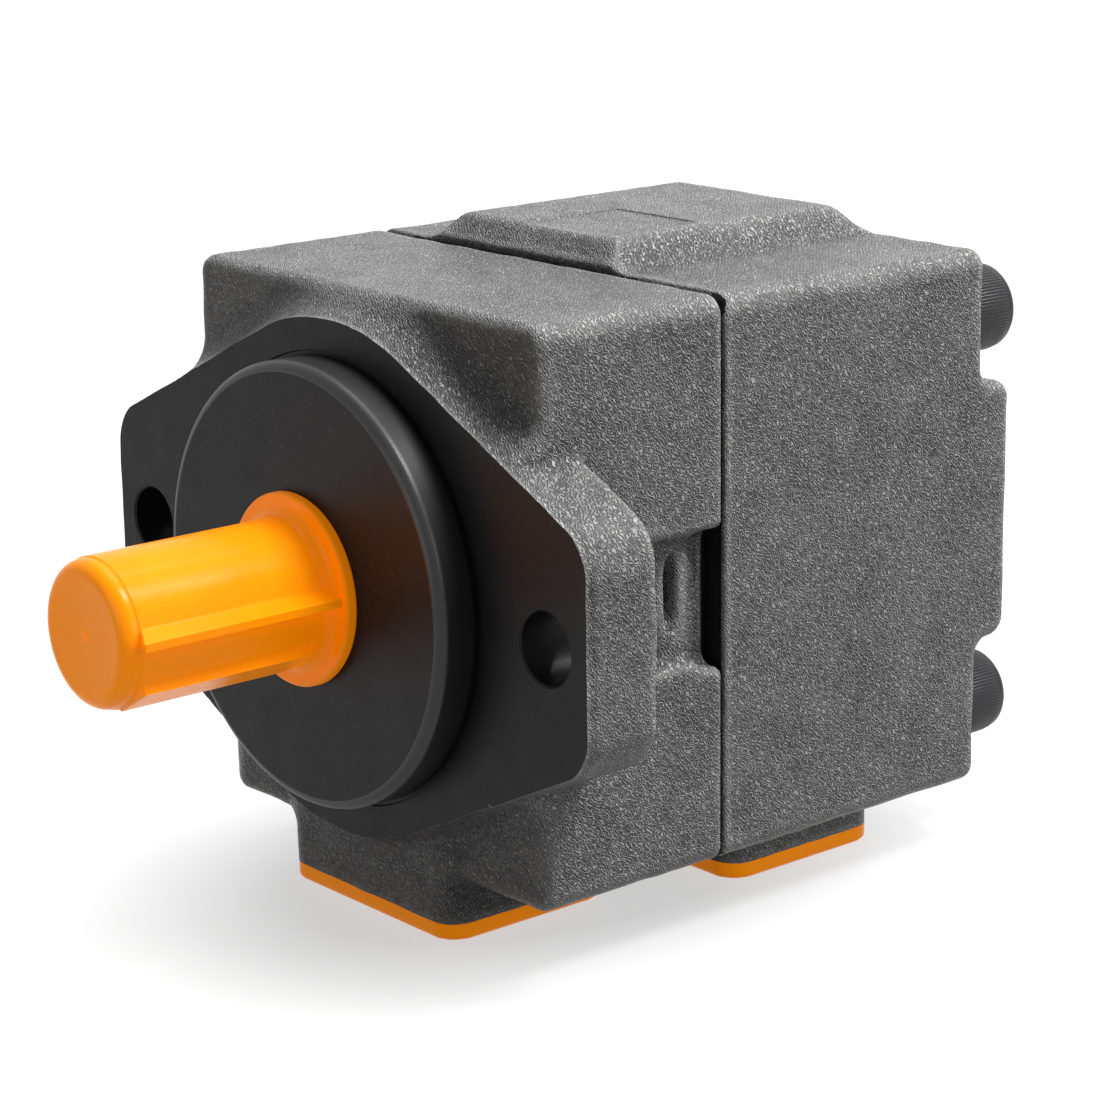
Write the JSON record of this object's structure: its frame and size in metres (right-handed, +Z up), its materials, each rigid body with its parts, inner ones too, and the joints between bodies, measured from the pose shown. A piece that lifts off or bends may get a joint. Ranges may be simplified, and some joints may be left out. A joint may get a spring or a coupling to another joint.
{
  "type": "hydraulic vane pump",
  "caption": "Fixed displacement hydraulic vane pump with a two-bolt pilot flange, keyed shaft, cast body and cover, bottom ports and orange transport caps.",
  "frame": {"origin": "centre of the pilot at the mounting flange's face, on the shaft's axis", "axes": "-Y along the shaft, out of the pump; +X to the right seen from the shaft's end; +Z up, away from the ports"},
  "size_m": [0.174, 0.2257, 0.1517],
  "materials": {
    "cast_iron": "grey primed casting with a fine sand-cast grain, pilot and flange faces turned",
    "black_screw": "black oxide, knurled heads",
    "orange_cap": "glossy moulded polyethylene",
    "ground_steel": "ground steel",
    "hard_steel": "hardened and lapped steel",
    "seal_rubber": "matt nitrile rubber",
    "bronze_bush": "sintered bronze"
  },
  "bodies": {
    "housing": {"front_body": "cast_iron", "rear_cover": "cast_iron", "cover_screws": "black_screw", "body_o_ring": "seal_rubber", "bearing_outer_race": "hard_steel", "bore_snap_ring": "black_screw", "seal_case": "ground_steel", "seal_lip": "seal_rubber", "garter_spring": "hard_steel", "front_side_plate": "ground_steel", "front_plate_seal": "seal_rubber", "rear_side_plate": "ground_steel", "rear_plate_seal": "seal_rubber", "rear_plate_bush": "bronze_bush", "cam_ring": "hard_steel", "cartridge_screws": "black_screw", "dowel_pins": "hard_steel"},
    "shaft": {"drive_shaft": "ground_steel", "shaft_key": "ground_steel", "bearing_inner_race": "hard_steel", "shaft_snap_ring": "black_screw", "rotor": "hard_steel"},
    "ball_cage": {"bearing_cage": "bronze_bush", "bearing_balls": "hard_steel"},
    "shaft_cap_body": {"shaft_cap": "orange_cap"},
    "discharge_cap_body": {"discharge_port_cap": "orange_cap"},
    "suction_cap_body": {"suction_port_cap": "orange_cap"},
    "vane_01_body": {"vane_01": "hard_steel"},
    "vane_02_body": {"vane_02": "hard_steel"},
    "vane_03_body": {"vane_03": "hard_steel"},
    "vane_04_body": {"vane_04": "hard_steel"},
    "vane_05_body": {"vane_05": "hard_steel"},
    "vane_06_body": {"vane_06": "hard_steel"},
    "vane_07_body": {"vane_07": "hard_steel"},
    "vane_08_body": {"vane_08": "hard_steel"},
    "vane_09_body": {"vane_09": "hard_steel"},
    "vane_10_body": {"vane_10": "hard_steel"},
    "vane_11_body": {"vane_11": "hard_steel"},
    "vane_12_body": {"vane_12": "hard_steel"}
  },
  "joints": [
    {"name": "shaft_spin", "type": "hinge", "parent": "housing", "child": "shaft", "pos_m": [0, 0, 0], "axis": [0, 1, 0], "continuous": true},
    {"name": "cage_spin", "type": "hinge", "parent": "housing", "child": "ball_cage", "pos_m": [0, 0.011, 0], "axis": [0, 1, 0], "continuous": true},
    {"name": "shaft_cap_pull", "type": "slide", "parent": "shaft", "child": "shaft_cap_body", "axis": [0, -1, 0], "range_m": [0, 0.12]},
    {"name": "discharge_cap_pull", "type": "slide", "parent": "housing", "child": "discharge_cap_body", "axis": [0, 0, -1], "range_m": [0, 0.04]},
    {"name": "suction_cap_pull", "type": "slide", "parent": "housing", "child": "suction_cap_body", "axis": [0, 0, -1], "range_m": [0, 0.04]},
    {"name": "vane_01_slide", "type": "slide", "parent": "shaft", "child": "vane_01_body", "axis": [0, 0, 1], "range_m": [0, 0.00041]},
    {"name": "vane_02_slide", "type": "slide", "parent": "shaft", "child": "vane_02_body", "axis": [0.5, 0, 0.866], "range_m": [0, 0.00192]},
    {"name": "vane_03_slide", "type": "slide", "parent": "shaft", "child": "vane_03_body", "axis": [0.866, 0, 0.5], "range_m": [0, 0.00344]},
    {"name": "vane_04_slide", "type": "slide", "parent": "shaft", "child": "vane_04_body", "axis": [1, 0, 0], "range_m": [0, 0.00337]},
    {"name": "vane_05_slide", "type": "slide", "parent": "shaft", "child": "vane_05_body", "axis": [0.866, 0, -0.5], "range_m": [0, 0.0018]},
    {"name": "vane_06_slide", "type": "slide", "parent": "shaft", "child": "vane_06_body", "axis": [0.5, 0, -0.866], "range_m": [0, 0.00034]},
    {"name": "vane_07_slide", "type": "slide", "parent": "shaft", "child": "vane_07_body", "axis": [0, 0, -1], "range_m": [0, 0.00041]},
    {"name": "vane_08_slide", "type": "slide", "parent": "shaft", "child": "vane_08_body", "axis": [-0.5, 0, -0.866], "range_m": [0, 0.00192]},
    {"name": "vane_09_slide", "type": "slide", "parent": "shaft", "child": "vane_09_body", "axis": [-0.866, 0, -0.5], "range_m": [0, 0.00344]},
    {"name": "vane_10_slide", "type": "slide", "parent": "shaft", "child": "vane_10_body", "axis": [-1, 0, 0], "range_m": [0, 0.00337]},
    {"name": "vane_11_slide", "type": "slide", "parent": "shaft", "child": "vane_11_body", "axis": [-0.866, 0, 0.5], "range_m": [0, 0.0018]},
    {"name": "vane_12_slide", "type": "slide", "parent": "shaft", "child": "vane_12_body", "axis": [-0.5, 0, 0.866], "range_m": [0, 0.00034]}
  ],
  "couplings": [
    {"joint": "cage_spin", "follows": "shaft_spin", "ratio": 0.3978}
  ]
}
